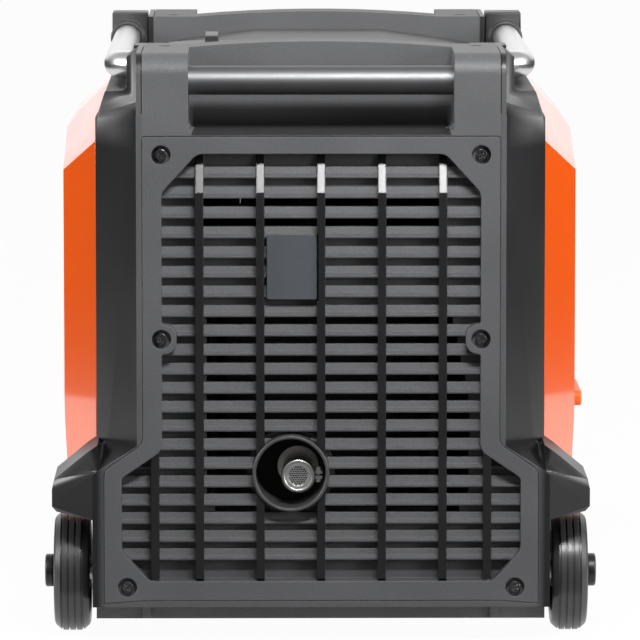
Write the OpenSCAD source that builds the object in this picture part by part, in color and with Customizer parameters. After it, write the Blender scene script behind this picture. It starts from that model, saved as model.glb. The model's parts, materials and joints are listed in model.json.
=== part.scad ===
// Inverter generator on two wheels. Millimetres, +Z up, exhaust end towards -Y,
// origin on the floor under the middle of the machine.

/* [Body] */
// Length from the exhaust ring to the front of the pull grip
overall_l = 670; // [650:1:760]
// Height of the end covers' cheeks above the floor
body_h = 517; // [505:1:560]
// Width over the side panels
body_w = 460; // [450:1:500]
// Drop from the cheeks' top to the ledge on which the side rails run
ledge_drop = 39; // [35:1:47]
// Height of the base tray above the floor
tray_z = 12; // [8:1:20]
// Wall of the moulded shells
wall = 3; // [2.4:0.1:3.4]
// Gap left between neighbouring shells
seam = 0.5; // [0.3:0.1:0.8]

/* [End covers] */
// Depth of an end cover along its top
cover_d = 130; // [124:1:140]
// Depth at which a slanted corner meets the side panel
corner_d = 100; // [92:1:106]
// Width of the cover's face above the shoulders
face_w = 321; // [317:1:325]
// Width of the cover below the shoulders
low_w = 400; // [398:1:402]
// Width where the slanted corners end
flank_w = 398; // [394:1:400]
// Height of the cover's lower edge
cover_z = 32; // [26:1:34]
// Width of the handle recess
recess_w = 231; // [215:1:240]
// Depth of the handle recess
recess_d = 87; // [80:1:92]
// Drop from the cheeks' top to the recess floor
recess_drop = 69.5; // [65:0.5:71]
// Rounding of the recess's lower corners
recess_r = 6; // [3:0.5:9]
// Rise of the crown between the cheeks
crown_rise = 5; // [2:0.5:8]
// Rounding of the cheeks' upper front edge
cheek_r = 18; // [12:1:24]

/* [Carrying bars] */
// Diameter of the carrying bars
bar_dia = 25.4; // [22:0.1:28]
// Drop from the cheeks' top to the middle of a carrying bar
bar_drop = 25.5; // [21:0.5:31]
// Depth of a carrying bar behind the cover's face
bar_d = 35; // [30:1:40]

/* [Face panels] */
// Thickness of the panel frames
frame_t = 8; // [6:0.5:9]
// Width of the panels above the shoulders
panel_w = 311; // [308:1:312]
// Width of the panels below the shoulders
panel_low_w = 379; // [372:1:382]
// Panel screw shank diameter
screw_dia = 4.8; // [4:0.1:5.5]
// Panel screw head diameter
screw_head = 10; // [9:0.5:11]
// Counterbore of the panel screws
screw_well = 16.8; // [15:0.2:17.6]

/* [Louvres] */
// Number of slats
slats = 21; // [18:1:21]
// Height of the highest slat's lip
top_slat = 408.1; // [405:0.1:410]
// Spacing of the highest slats
slat_pitch = 17.6; // [17.2:0.05:17.8]
// How much the spacing shrinks from each slat to the next one down
slat_ease = 0.085; // [0.07:0.005:0.1]
// Height of a slat from its lip to its top edge
slat_h = 10; // [9:0.5:11]
// Depth of the lips behind the face
lip_d = 9; // [8.5:0.5:10]
// Spacing of the upright ribs
rib_pitch = 53; // [50:0.5:54]
// Width of the upright ribs
rib_w = 7; // [5:0.5:9]

/* [Exhaust] */
// Outside diameter of the shroud ring
shroud_dia = 67; // [62:0.5:70]
// How far the shroud ring stands out of the rear face
shroud_out = 2; // [1:0.5:6]
// Tail pipe diameter
pipe_dia = 26; // [24:0.5:27]
// Sideways place of the tail pipe
pipe_x = -20; // [-21:0.5:-18]
// Height of the tail pipe
pipe_z = 146; // [145:0.5:149]

/* [Side rails and pull handle] */
// Outside diameter of the side rails
rail_dia = 25; // [24:0.5:25.4]
// Sideways place of the side rails
rail_x = 180.5; // [179.5:0.5:181.5]
// Height of the side rails' middle above the ledge
rail_rise = 19; // [17:0.5:21]
// Centre-line radius of the rail bends
bend_r = 27; // [25:1:30]
// Diameter of the telescoping arms
arm_dia = 18; // [16:0.5:18]
// Wall of the handle tubes
tube_wall = 1.5; // [1:0.1:2]
// How far the pull grip stands in front of the front cover
grip_out = 30; // [29:1:40]
// Diameter of the pull grip
grip_dia = 25; // [23:0.5:27]
// Length of the pull grip
grip_l = 240; // [160:5:280]

/* [Wheels] */
// Wheel diameter
wheel_dia = 106; // [100:1:106]
// Tyre width
tyre_w = 32; // [28:1:32]
// Distance of the axle from the rear face
axle_d = 75; // [73:1:80]
// Axle diameter
axle_dia = 16; // [14:0.5:18]
// Axle cap diameter
cap_dia = 29; // [24:1:34]
// Length of an axle cap
cap_l = 8; // [6:1:9]

/* [Engine] */
// Height of the crankshaft
crank_z = 165; // [160:1:172]
// Crankshaft diameter
crank_dia = 30; // [26:1:34]
// Lean of the cylinder towards the exhaust end
lean = 28; // [24:1:32]
// Cylinder barrel diameter
barrel_dia = 76; // [70:1:80]
// Recoil pulley diameter at the rope
pulley_dia = 90; // [80:1:96]
// Starter rope diameter
rope_dia = 4.5; // [3.5:0.1:5]

/* [Controls] */
// Engine dial diameter
dial_dia = 52; // [44:1:60]
// Start button diameter
button_dia = 22; // [18:1:26]
// Fuel cap diameter
fuel_cap_dia = 84; // [76:1:88]

/* [Hidden] */
$fn = 48;
fit = 0.05;          // running clearance on radius
rest = 0.3;          // clearance between seated pieces
cut = 1;             // how far a cutter passes a face

rear_y = -overall_l / 2;
front_y = overall_l / 2;
face_y = rear_y + shroud_out;            // rear cover's face
front_face_y = front_y - grip_out;       // front cover's face
mid_y = (face_y + front_face_y) / 2;
side_y0 = face_y + corner_d + seam;      // where the side panels begin and end
side_y1 = front_face_y - corner_d - seam;
top_y0 = face_y + cover_d + seam;
top_y1 = front_face_y - cover_d - seam;

ledge_z = body_h - ledge_drop;
recess_z = body_h - recess_drop;
bar_z = body_h - bar_drop;
rail_z = ledge_z + rail_rise;

face_h = face_w / 2;
low_h = low_w / 2;
flank_h = flank_w / 2;
recess_h = recess_w / 2;
side_h = body_w / 2;
panel_h = panel_w / 2;
panel_low_h = panel_low_w / 2;

shoulder_z = 174;                        // where the face starts to widen
shoulder_low_z = 152;
corner_in_z = ledge_z - 9;               // top of the slanted corners beside the cheeks
corner_out_z = ledge_z - 20.5;           // and at their outer ends
ear_w = 2 * (rail_x - rail_dia / 2 + 3); // width of the ears behind the cheeks
ear_t = 8;
ear_z = body_h - 9;
seat_t = frame_t + rest;                 // depth of the recess that takes a face panel
plate_t = seat_t + wall;

axle_y = face_y + axle_d;
axle_z = wheel_dia / 2;
wheel_gap = 3.5;                         // between the cover and the tyre
tyre_x = low_h + wheel_gap;
rim_dia = 72;
track_w = 2 * (tyre_x + tyre_w + 0.5 + cap_l);   // over the axle caps

panel_top_z = recess_z - 2.5;
open_top_z = panel_top_z - 15;
mid_screw_z = 268;
open_bottom_z = 55;
open_h = 139;
open_low_h = 174.4;
screw_spots = [[open_h, open_top_z - 1], [open_h, mid_screw_z], [169.5, 49.5]];

shroud_x = pipe_x - 6.5;
shroud_z = pipe_z + 4;
back_d = lip_d + 8;                      // face of the sheet behind the slats
sheet_t = 2;

side_low_z = 129;
side_top_z = ledge_z - 48;
side_slant = 70;                         // length of the slanted ends of the side panels
roof_x = 163;                            // half width of the crowned roof
crown_top = body_h - 12;

cap_x = -98;                             // fuel cap
cap_y = -20;
neck_r = 22;

door_y0 = -100;                          // service door in the left panel
door_y1 = 62;
door_z0 = 190;
door_z1 = side_top_z - 30;
pin_r = 1.2;
barrel_r = 2.4;
hinge_x = -side_h + barrel_r + 0.1;      // axis of the door's hinge

rotor_x = 55;                            // crankcase face that carries the generator
grip_y = 0;                              // recoil starter grip
grip_z = 178;

// ---- helpers ----

// Closed outline from its right half, listed from the bottom up
function both(h) = concat(h, [for (i = [len(h) - 1:-1:0]) [-h[i][0], h[i][1]]]);

function unit(v) = v / norm(v);

// Corner b between a and c, rounded to radius r
function corner(a, b, c, r, n) = r <= 0 ? [b] :
    let (u = unit(a - b), v = unit(c - b), half = acos(u * v) / 2,
         p = b + u * r / tan(half), q = b + v * r / tan(half),
         m = b + unit(u + v) * r / sin(half),
         a0 = atan2(p[1] - m[1], p[0] - m[0]),
         a1 = atan2(q[1] - m[1], q[0] - m[0]),
         turn = a1 - a0 > 180 ? a1 - a0 - 360 : a1 - a0 < -180 ? a1 - a0 + 360 : a1 - a0)
    [for (i = [0:n]) m + r * [cos(a0 + turn * i / n), sin(a0 + turn * i / n)]];

// Outline given as [x, y, radius] points
function rounded(p, n = 5) = let (k = len(p)) [for (i = [0:k - 1])
    each corner(flat(p[(i + k - 1) % k]), flat(p[i]), flat(p[(i + 1) % k]), p[i][2], n)];
function flat(p) = [p[0], p[1]];
function both3(h) = concat(h, [for (i = [len(h) - 1:-1:0]) [-h[i][0], h[i][1], h[i][2]]]);

// Outline moved inwards by t (outwards if t is negative); points run anticlockwise
function inset(p, t) = let (k = len(p)) [for (i = [0:k - 1])
    let (u = unit(p[i] - p[(i + k - 1) % k]), v = unit(p[(i + 1) % k] - p[i]),
         nu = [-u[1], u[0]], nv = [-v[1], v[0]])
    p[i] + t * (nu + nv) / (1 + nu * nv)];

// 2D (y, z) shape drawn out along X, and 2D (x, z) shape drawn out along Y
module along_x(x0, x1) translate([x0, 0, 0]) rotate([90, 0, 90]) linear_extrude(x1 - x0) children();
module along_y(y0, y1) translate([0, y1, 0]) rotate([90, 0, 0]) linear_extrude(y1 - y0) children();

// Box between two corners
module block(a, b) translate(a) cube(b - a);

// Round bars and holes along each axis, from one end to the other
module rod_x(x0, x1, y, z, r) translate([x0, y, z]) rotate([0, 90, 0]) cylinder(r = r, h = x1 - x0);
module rod_y(y0, y1, x, z, r) translate([x, y1, z]) rotate([90, 0, 0]) cylinder(r = r, h = y1 - y0);
module rod_z(z0, z1, x, y, r) translate([x, y, z0]) cylinder(r = r, h = z1 - z0);

// Rectangle with round corners, centred
module rrect(w, h, r) {
    square([w - 2 * r, h], center = true);
    square([w, h - 2 * r], center = true);
    for (x = [-1, 1], y = [-1, 1]) translate([x * (w / 2 - r), y * (h / 2 - r)]) circle(r);
}

module pair() { children(); mirror([1, 0, 0]) children(); }
module at_rear() translate([0, face_y, 0]) children();
module at_front() translate([0, front_face_y, 0]) mirror([0, 1, 0]) children();

// ---- end covers: drawn with the face at y = 0 and the depth along +Y ----

// Flank in plan: it runs out to corner_k, then nearly straight back
corner_k = 0.75 * corner_d;
flank_out = flank_h - 1 - face_h;
function corner_x(d) = d < corner_k ? face_h + flank_out * d / corner_k
    : flank_h - 1 + (d - corner_k) / (corner_d - corner_k);

// Corners of the facets that break the flank's top edge
facet_a = [corner_x(3.4), 3.4, corner_in_z - 6];
facet_b = [corner_x(corner_k) - 0.8, corner_k, corner_out_z - 18.5];
facet_c = [face_h + 4, corner_d, corner_in_z - 1.2];
facet_d = [flank_h - 2, corner_d, corner_out_z + 0.5];

// Everything above a plane through p with normal n, let down by t
module above(p, n, t) let (u = unit(n)) translate(p - u * t) rotate(acos(u[2]), [-u[1], u[0], 0])
    translate([-200, -200, 0]) cube([400, 400, 200]);

// Outline of the face panels
function panel_outline() = rounded(both3([
    [panel_low_h - 34, 38, 0], [panel_low_h, 35.5, 1], [panel_low_h, shoulder_low_z + 1, 12],
    [panel_h, shoulder_z + 2, 12], [panel_h, panel_top_z, 2]]));

// Outline of the opening in the louvre panel
function open_outline() = rounded(both3([
    [open_low_h - 24.4, open_bottom_z, 10], [open_low_h, 81, 14], [open_low_h, 146, 6],
    [open_h, 170, 12], [open_h, mid_screw_z - 13, 2.4], [open_h - 13, mid_screw_z - 13, 10.5],
    [open_h - 13, mid_screw_z + 13, 10.5], [open_h, mid_screw_z + 13, 2.4],
    [open_h, open_top_z - 34, 12], [108, open_top_z, 12]]));

// Side view of a cheek, moved in by t and lengthened by extra
module cheek_side(t, extra = 0) {
    r = cheek_r - t;
    translate([cheek_r, recess_z - 30]) square([cover_d - cheek_r + extra, body_h - t - recess_z + 30]);
    translate([t, recess_z - 30]) square([cheek_r, body_h - cheek_r - recess_z + 30]);
    translate([cheek_r, body_h - cheek_r]) circle(r);
}

module crown_front(t) {
    rise = crown_rise;
    r = (recess_h * recess_h + rise * rise) / (2 * rise);
    intersection() {
        translate([0, body_h + rise - r]) circle(r - t, $fn = 180);
        translate([-face_h + t, recess_z - 30]) square([face_w - 2 * t, body_h - recess_z + 60]);
    }
}

module corner_block(t, d0, d1) difference() {
    intersection() {
        translate([0, 0, shoulder_low_z - 2]) linear_extrude(body_h)
            polygon(both([for (d = [d0, corner_k, d1]) [corner_x(d) - t * 1.12, d]]));
        along_y(d0, d1) polygon(both([[low_h, shoulder_low_z - 2], [flank_h, corner_out_z - t],
            [face_h, corner_in_z - t]]));
    }
    // two facets along the top of the flank
    pair() {
        above(facet_a, cross(facet_b - facet_a, facet_d - facet_a), t);
        above(facet_a, cross(facet_d - facet_a, facet_c - facet_a), t);
    }
}

module ear_front() polygon(rounded(both3([[flank_h - 2.5, corner_out_z - 20, 0],
    [flank_h - 2.5, corner_out_z, 0], [rail_x + 9.5, ledge_z, 3], [ear_w / 2, ledge_z, 6],
    [ear_w / 2, ear_z, 0], [face_h - 2, body_h, 0]])));

module flare_part(d, shrink) translate([0, d, 0]) along_y(0, 0.1)
    polygon(inset([[low_h - 4, 108.5], [low_h + 32, 113.5], [low_h + 36, 118], [low_h + 36, 133],
        [low_h + 34, 142], [low_h + 6, 165], [low_h - 4, 172]], shrink));

module flare() difference() {
    hull() {
        translate([0, 0.2, 0]) along_y(0, 0.1)
            polygon([[low_h - 4, 108.5], [low_h - 0.5, 109], [low_h - 0.5, 150], [low_h - 4, 154]]);
        flare_part(22, 0);
        flare_part(corner_d - 0.1, 0);
    }
    // wheel well under the flare
    rod_x(low_h + 0.5, low_h + 40, axle_d, axle_z, axle_z + 6.5);
    hull() {
        translate([0, 10, 0]) flare_part(18, wall);
        translate([0, 10, -12]) flare_part(18, wall);
        flare_part(corner_d + cut, wall);
        translate([0, 0, -12]) flare_part(corner_d + cut, wall);
    }
}

module cover_form(ears) {
    corner_block(0, 0, corner_d);
    // shoulders and lower part
    hull() {
        along_y(0, 1) polygon(both([[low_h, cover_z], [low_h, shoulder_low_z - 3],
            [low_h - 6, shoulder_low_z + 1], [face_h, shoulder_z]]));
        along_y(corner_d - 1, corner_d) polygon(both([[low_h, cover_z], [low_h, 166], [low_h - 20, 190]]));
    }
    // cheeks with a fine groove round each, and the crowned strip between them
    along_x(-panel_h, panel_h) cheek_side(0);
    along_x(-panel_h - 0.9, panel_h + 0.9) cheek_side(1.2);
    pair() along_x(panel_h + 0.8, face_h) cheek_side(0);
    along_y(recess_d, cover_d) crown_front(0);
    if (ears) {
        along_y(corner_d - ear_t, corner_d) ear_front();
        along_y(corner_d - ear_t, cover_d) intersection() {
            ear_front();
            translate([-ear_w / 2, ledge_z]) square([ear_w, body_h]);
        }
    }
}

module cover_hollow() {
    // main hollow behind the face
    difference() {
        union() {
            corner_block(wall, plate_t + 0.2, corner_d + cut);
            along_y(plate_t, corner_d + cut) polygon(both([[low_h - wall, cover_z - cut],
                [low_h - wall, shoulder_low_z - 5], [face_h, 170]]));
            block([-face_h + wall, plate_t, recess_z - 40], [face_h - wall, cover_d + cut, recess_z - wall]);
        }
        block([-recess_h - wall, -cut, recess_z - wall], [recess_h + wall, recess_d + wall, body_h]);
    }
    // inside the cheeks and the crowned strip
    intersection() {
        union() {
            pair() block([recess_h + wall, wall, panel_top_z + seam + wall], [panel_h - wall, plate_t + cut, body_h + 20]);
            pair() block([recess_h + wall, plate_t, recess_z - 29], [panel_h - wall, cover_d - wall, body_h + 20]);
            block([-panel_h + wall, recess_d + wall, recess_z - 29], [panel_h - wall, cover_d - wall, body_h + 20]);
        }
        along_x(-face_h, face_h) cheek_side(wall, cut);
    }
}

module end_cover(ears) difference() {
    union() {
        difference() {
            cover_form(ears);
            cover_hollow();
            // room for the hand over and behind the bar
            along_y(-cut, recess_d) polygon(rounded(both3([[recess_h, recess_z, recess_r],
                [recess_h, body_h + 30, 0]])));
            // seat of the face panel and the window behind it
            along_y(-cut, seat_t) polygon(inset(panel_outline(), -seam));
            along_y(0, plate_t + cut) polygon(inset(open_outline(), -4));
        }
        // sockets of the carrying bar
        pair() rod_x(recess_h + 0.5, recess_h + 12, bar_d, bar_z, bar_dia / 2 + 4);
        // bosses of the panel screws
        pair() for (p = screw_spots) rod_y(seat_t + 0.5, seat_t + 16, p[0], p[1], 6);
    }
    pair() rod_x(recess_h - cut, recess_h + 10, bar_d, bar_z, bar_dia / 2 + fit);
    pair() for (p = screw_spots) rod_y(seat_t - cut, seat_t + 20, p[0], p[1], screw_dia / 2 + fit);
    // screw wells on top of the cheeks
    pair() rod_z(body_h - 2, body_h + 10, 137.5, corner_d + 3, 6);
    // axle
    if (ears) pair() rod_x(low_h - 8, low_h + 1, axle_d, axle_z, axle_dia / 2 + 1);
}

module rear_cover() color([0.2, 0.2, 0.21]) at_rear() {
    end_cover(true);
    pair() flare();
}

module front_cover() color([0.2, 0.2, 0.21]) at_front() end_cover(false);

module carry_bars() color([0.45, 0.46, 0.48]) {
    at_rear() rod_x(-recess_h - 9.5, recess_h + 9.5, bar_d, bar_z, bar_dia / 2);
    at_front() rod_x(-recess_h - 9.5, recess_h + 9.5, bar_d, bar_z, bar_dia / 2);
}

// ---- louvre panel ----

// Slat in section: lip in front, sloping face, flat top
module slat_section() polygon([[lip_d, 0], [lip_d, 2], [lip_d + 2.5, 4], [lip_d + 4, slat_h],
    [back_d + 0.5, slat_h], [back_d + 0.5, 0]]);

// Height of a slat's lip; i counts from the bottom, where the slats stand closer
function slat_z(i) = let (k = slats - 1 - i) top_slat - slat_pitch * k + slat_ease * k * (k - 1) / 2;

// Right-hand end of each open row over the muffler, counted from the lowest
open_rows = [121, 129, 129, 129, 130, 130, 129, 126, 122, 119, 115];

module open_slots() {
    for (i = [0:len(open_rows) - 1])
        block([i == 0 ? -93 : -100, back_d - cut, slat_z(i + 2) + slat_h],
              [open_rows[i], back_d + 5, slat_z(i + 3)]);
    for (i = [slats - 2, slats - 3])
        block([-2 * rib_pitch, back_d - cut, slat_z(i - 1) + slat_h], [2 * rib_pitch, back_d + 5, slat_z(i)]);
}

module panel_frame(open) difference() {
    along_y(0, frame_t) difference() {
        polygon(panel_outline());
        if (open) polygon(open_outline());
    }
    pair() for (p = screw_spots) {
        rod_y(-cut, frame_t - 3, p[0], p[1], screw_well / 2);
        rod_y(0, frame_t + cut, p[0], p[1], screw_dia / 2 + 0.3);
    }
}

module louvre_panel() color([0.3, 0.3, 0.31]) at_rear() difference() {
    union() {
        panel_frame(true);
        intersection() {
            along_y(0, back_d + sheet_t) polygon(inset(open_outline(), -2));
            union() {
                difference() {
                    along_y(back_d, back_d + sheet_t) polygon(inset(open_outline(), -1.5));
                    open_slots();
                }
                for (i = [0:slats - 1]) translate([0, 0, slat_z(i)]) along_x(-low_h, low_h) slat_section();
                // wall round the opening, from the frame back to the sheet
                along_y(frame_t - 2, back_d + sheet_t) difference() {
                    polygon(inset(open_outline(), -2));
                    polygon(inset(open_outline(), 0));
                }
                for (i = [-2:2]) along_x(i * rib_pitch - rib_w / 2, i * rib_pitch + rib_w / 2)
                    polygon([[1, open_bottom_z + 2], [lip_d, open_bottom_z - 4], [back_d + 0.5, open_bottom_z - 4],
                        [back_d + 0.5, open_top_z + 4], [back_d - 1, open_top_z + 1], [1, open_top_z - 34]]);
                pair() along_x(145 - rib_w / 2, 145 + rib_w / 2)
                    polygon([[1, open_bottom_z - 2], [back_d + 0.5, open_bottom_z - 2], [back_d + 0.5, 172], [1, 168]]);
            }
        }
    }
    rod_y(-cut, back_d + 10, shroud_x, shroud_z, shroud_dia / 2 + fit);
    // bed of the blank plate
    block([-49, -cut, 300.9], [-2.2, lip_d + 0.01, 360.8]);
}

// Cross-head screws of one face panel
module screw_set() pair() for (p = screw_spots) difference() {
    union() {
        rod_y(frame_t - 3 - 3.4, frame_t - 3, p[0], p[1], screw_head / 2);
        rod_y(frame_t - 3.5, frame_t + 10, p[0], p[1], screw_dia / 2);
    }
    for (a = [0, 90]) translate([p[0], 0, p[1]]) rotate([0, a + 30, 0]) cube([6, 7, 1.1], center = true);
}

module panel_screws() color([0.08, 0.08, 0.08]) {
    at_rear() screw_set();
    at_front() screw_set();
}

module blank_plate() color([0.2, 0.21, 0.24]) at_rear()
    along_y(lip_d - 3.4, lip_d - 0.02) translate([-25.6, 330.85]) rrect(43.5, 56.9, 1.5);

// ---- exhaust ----

module exhaust_shroud() color([0.16, 0.16, 0.17]) at_rear() translate([shroud_x, 0, shroud_z])
    rotate([-90, 0, 0]) difference() {
        union() {
            translate([0, 0, -shroud_out]) cylinder(r = shroud_dia / 2, h = back_d + sheet_t + 30 + shroud_out);
            translate([0, 0, back_d + sheet_t + rest]) cylinder(r = shroud_dia / 2 + 5, h = 2);
        }
        translate([0, 0, -shroud_out - cut]) cylinder(r = shroud_dia / 2 - wall, h = 80);
    }

muffler_d = 78;      // depth of the muffler's rear face

module tail_pipe() color([0.7, 0.68, 0.64]) at_rear() translate([pipe_x, 0, pipe_z]) rotate([-90, 0, 0])
    difference() {
        union() {
            translate([0, 0, 15]) cylinder(r = pipe_dia / 2, h = muffler_d - 15 - 0.1);
            translate([0, 0, 15]) rotate_extrude() translate([pipe_dia / 2, 0]) circle(2, $fn = 24);
            translate([0, 0, muffler_d - 3.1]) cylinder(r = pipe_dia / 2 + 5, h = 3);
        }
        translate([0, 0, 10]) cylinder(r = pipe_dia / 2 - tube_wall, h = muffler_d);
    }

// Mesh cup held in the mouth of the tail pipe
module spark_arrester() color([0.75, 0.75, 0.75]) at_rear() translate([pipe_x, 0, pipe_z]) rotate([-90, 0, 0]) {
    r = pipe_dia / 2 - tube_wall - fit;
    difference() {
        translate([0, 0, 14]) cylinder(r = r, h = 30);
        translate([0, 0, 13]) cylinder(r = r - 2.1, h = 3);
        translate([0, 0, 17]) cylinder(r = r - 1.2, h = 40);
        for (i = [-5:5], k = [-4:4]) let (x = (i + k / 2) * 2.1, y = k * 1.82) if (norm([x, y]) < r - 3.2)
            translate([x, y, 15]) cylinder(r = 0.84, h = 4, $fn = 6);
    }
}

module arrester_clamp() color([0.8, 0.8, 0.8]) at_rear() translate([pipe_x, 0, pipe_z]) {
    difference() {
        union() {
            rod_y(21, 30, 0, 0, pipe_dia / 2 + 1.3);
            block([pipe_dia / 2, 21, -3.5], [pipe_dia / 2 + 8, 30, 3.5]);
        }
        rod_y(20, 31, 0, 0, pipe_dia / 2 + fit);
        block([pipe_dia / 2 - 3, 20, -0.8], [pipe_dia / 2 + 9, 31, 0.8]);
    }
    rod_z(-7, 7, pipe_dia / 2 + 4.6, 25.5, 2);
    for (s = [0, 1]) mirror([0, 0, s]) translate([pipe_dia / 2 + 4.6, 25.5, 3.5]) cylinder(r = 3.6, h = 3, $fn = 6);
}

module muffler() color([0.55, 0.53, 0.5]) at_rear() difference() {
    union() {
        along_y(muffler_d, muffler_d + 66) translate([2, 205]) rrect(170, 176, 26);
        for (d = [muffler_d + 8, muffler_d + 54]) along_y(d, d + 4) translate([2, 205]) rrect(174, 180, 28);
    }
    rod_y(muffler_d - cut, muffler_d + 40, pipe_x, pipe_z, pipe_dia / 2 - tube_wall);
}

// Folded sheet round the muffler, open towards the louvres
module heat_shield() color([0.8, 0.8, 0.8]) at_rear() {
    x0 = -97;
    x1 = 101;
    z0 = 100;
    z1 = 306;
    t = 1.2;
    difference() {
        block([x0, muffler_d - 34, z0], [x1, muffler_d + 76, z1]);
        block([x0 + t, muffler_d - 34 + t, z0 + t], [x1 - t, muffler_d + 75, z1 - t]);
        block([x0 + 6, muffler_d - 40, z0 + 14], [x1 - 6, muffler_d, z1 - 6]);
        block([x0 + 24, muffler_d + 50, z0 + 60], [x1 - 24, muffler_d + 80, z1 - 40]);
    }
    // saddles of the muffler
    for (x = [-50, 54]) block([x - 8, muffler_d + 7, z0 + t - 0.2], [x + 8, muffler_d + 59, 114.7]);
}

// ---- control end ----

ctrl_d = 5;                              // depth of the control field behind the frame
dial_z = panel_top_z - 60;
button_z = panel_top_z - 53;
eco_z = panel_top_z - 95;
breaker_z = panel_top_z - 109;
small_z = panel_top_z - 111;             // low-voltage sockets
outlet_z = panel_top_z - 163;
earth_z = panel_top_z - 213;

module control_panel() color([0.17, 0.17, 0.18]) at_front() difference() {
    panel_frame(false);
    along_y(-cut, ctrl_d) difference() {
        polygon(inset(open_outline(), 2));
        translate([-low_h, 210]) square([low_w, 8]);
    }
    // air intake
    for (z = [70:12:190]) along_y(ctrl_d - cut, frame_t + cut) translate([0, z]) rrect(z < 150 ? 270 : 230, 5, 2.4);
    // seats of the controls
    along_y(0, frame_t + cut) {
        translate([-80, dial_z]) rrect(84 + seam, 40 + seam, 4);
        translate([90, dial_z]) circle(9 + fit);
        translate([20, button_z]) circle(button_dia / 2 + 0.3);
        translate([20, eco_z]) square([13.2, 21.2], center = true);
        translate([60, breaker_z]) circle(7.3);
        for (x = [-88, -6]) translate([x, outlet_z]) square([46.4, 30.4], center = true);
        translate([88, outlet_z]) circle(23.2);
        translate([-104, small_z]) rrect(60.4, 18.4, 2);
        translate([-36, small_z]) circle(6.2);
        translate([-16, small_z]) circle(6.2);
        translate([120, earth_z]) circle(3.1);
    }
}

module display() color([0.05, 0.06, 0.08]) at_front() {
    along_y(2, frame_t + 10) translate([-80, dial_z]) rrect(84, 40, 4);
    along_y(1.2, 2.2) translate([-80, dial_z]) rrect(74, 30, 2);
}

module engine_dial() color([0.85, 0.35, 0.08]) at_front() translate([90, 0, dial_z]) {
    difference() {
        rod_y(-10, ctrl_d - rest, 0, 0, dial_dia / 2);
        for (s = [-1, 1]) block([s * 14 - 9, -10 - cut, -40], [s * 14 + 9, -2, 40]);
        block([-1, -10 - cut, 12], [1, -9, 24]);
    }
    rod_y(ctrl_d - cut, frame_t + 8, 0, 0, 9);
}

module start_button() color([0.15, 0.45, 0.2]) at_front() {
    rod_y(-1, frame_t + 6, 20, button_z, button_dia / 2);
    rod_y(frame_t + 3.6, frame_t + 5.6, 20, button_z, button_dia / 2 + 2);
}

module eco_switch() color([0.1, 0.1, 0.1]) at_front() translate([20, ctrl_d + 1, eco_z])
    along_x(-6.4, 6.4) polygon([[-5.2, -9], [-3.2, 0], [-2.6, 9], [3, 9], [5, 0], [3, -9]]);

module ac_breaker() color([0.75, 0.12, 0.1]) at_front() {
    rod_y(-2, frame_t + 8, 60, breaker_z, 7);
    rod_y(frame_t + 4.6, frame_t + 6.6, 60, breaker_z, 9);
}

lid_w = 64;
lid_h = 44;
lid_pin_d = 0.2;
lid_pin_z = outlet_z + lid_h / 2 + 2.2;

// Sprung lid that hangs from a pin at its upper edge
module lid(x, w) difference() {
    union() {
        along_y(-1, 1.4) translate([x, outlet_z]) rrect(w, lid_h, 4);
        rod_x(x - w / 2 + 5, x + w / 2 - 5, lid_pin_d, lid_pin_z, 2.5);
        block([x - w / 2 + 5, -1, lid_pin_z - 5], [x + w / 2 - 5, 1.4, lid_pin_z - 0.2]);
    }
    rod_x(x - w / 2, x + w / 2, lid_pin_d, lid_pin_z, 1.2 + fit);
}

// Plate, ears and pin that carry a lid
module lid_seat(w) {
    along_y(3.5, ctrl_d - 0.01) translate([0, lid_pin_z - 4.2]) rrect(w - 2, 14, 2);
    rod_x(-w / 2 + 3, w / 2 - 3, lid_pin_d, lid_pin_z, 1.2);
    for (s = [-1, 1]) translate([s * (w / 2 - 3), 0, lid_pin_z]) {
        rod_x(-1.6, 1.6, lid_pin_d, 0, 1.9);
        block([-1.6, lid_pin_d, -1.9], [1.6, 4, 1.9]);
    }
}

module duplex_outlets() color([0.12, 0.12, 0.12]) at_front() for (x = [-88, -6]) translate([x, 0, outlet_z])
    difference() {
        union() {
            along_y(3.5, frame_t + 24) square([46, 30], center = true);
            along_y(3.5, ctrl_d - 0.01) square([62, 42], center = true);
            translate([0, 0, -outlet_z]) lid_seat(lid_w);
        }
        for (s = [-1, 1]) {
            for (t = [-1, 1]) block([s * 12 + t * 3.2 - 0.9, 3, -4], [s * 12 + t * 3.2 + 0.9, 7, 4]);
            rod_y(3, 7, s * 12, -8, 2.2);
        }
    }

module outlet_cover_left() color([0.22, 0.22, 0.23]) at_front() lid(-88, lid_w);
module outlet_cover_right() color([0.22, 0.22, 0.23]) at_front() lid(-6, lid_w);

module twist_lock_outlet() color([0.12, 0.12, 0.12]) at_front() translate([88, 0, outlet_z]) difference() {
    union() {
        rod_y(3.5, frame_t + 26, 0, 0, 23);
        rod_y(3.5, ctrl_d - 0.01, 0, 0, 27);
        translate([0, 0, -outlet_z]) lid_seat(60);
    }
    for (a = [90, 210, 330]) rotate([0, a, 0]) translate([12, 5.5, 0]) cube([2, 5, 9], center = true);
}

module twist_lock_cover() color([0.22, 0.22, 0.23]) at_front() lid(88, 60);

module low_voltage_sockets() color([0.1, 0.1, 0.1]) at_front() {
    difference() {
        along_y(3, frame_t + 12) translate([-104, small_z]) rrect(60, 18, 2);
        for (x = [-120, -104]) block([x - 3.5, 2, small_z - 7], [x + 3.5, 6, small_z + 7]);
        rod_y(2, 6, -86, small_z, 6);
    }
    for (x = [-36, -16]) difference() {
        rod_y(1.5, frame_t + 12, x, small_z, 6);
        rod_y(1, 5, x, small_z, 2);
    }
}

module earth_terminal() color([0.8, 0.65, 0.3]) at_front() {
    rod_y(-3, frame_t + 14, 120, earth_z, 3);
    translate([120, ctrl_d - 0.05, earth_z]) rotate([90, 0, 0]) cylinder(r = 6, h = 4, $fn = 6);
}

// ---- side panels ----

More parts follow.
